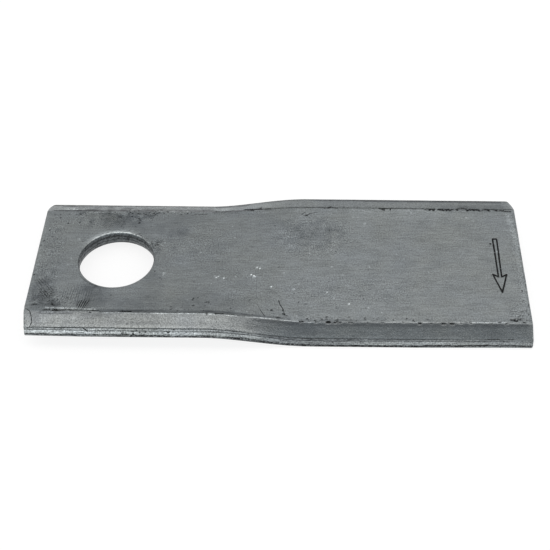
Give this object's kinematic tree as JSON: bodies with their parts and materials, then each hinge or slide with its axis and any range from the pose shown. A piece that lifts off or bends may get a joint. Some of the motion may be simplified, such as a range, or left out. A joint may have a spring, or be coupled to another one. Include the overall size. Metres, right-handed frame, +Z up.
{
  "type": "rotary mower blade",
  "caption": "Flat steel rotary mower blade: round pin hole in a flat fixing end, bevelled long edges, and a slight twist that sets the cutting wing at an angle.",
  "frame": {"origin": "bottom centre of the bounding box: mid length, mid width, on the surface that the blade lies on", "axes": "+X along the blade from the fixing end to the cutting end, +Y across it from the near edge to the far edge, +Z up through the thickness"},
  "size_m": [0.131, 0.0482, 0.0073],
  "materials": {
    "blade_steel": "dull grey rolled and hardened steel, fine lengthwise streaks, dark pits and a worn, nicked edge"
  },
  "bodies": {
    "root": {"blade": "blade_steel"}
  },
  "joints": []
}
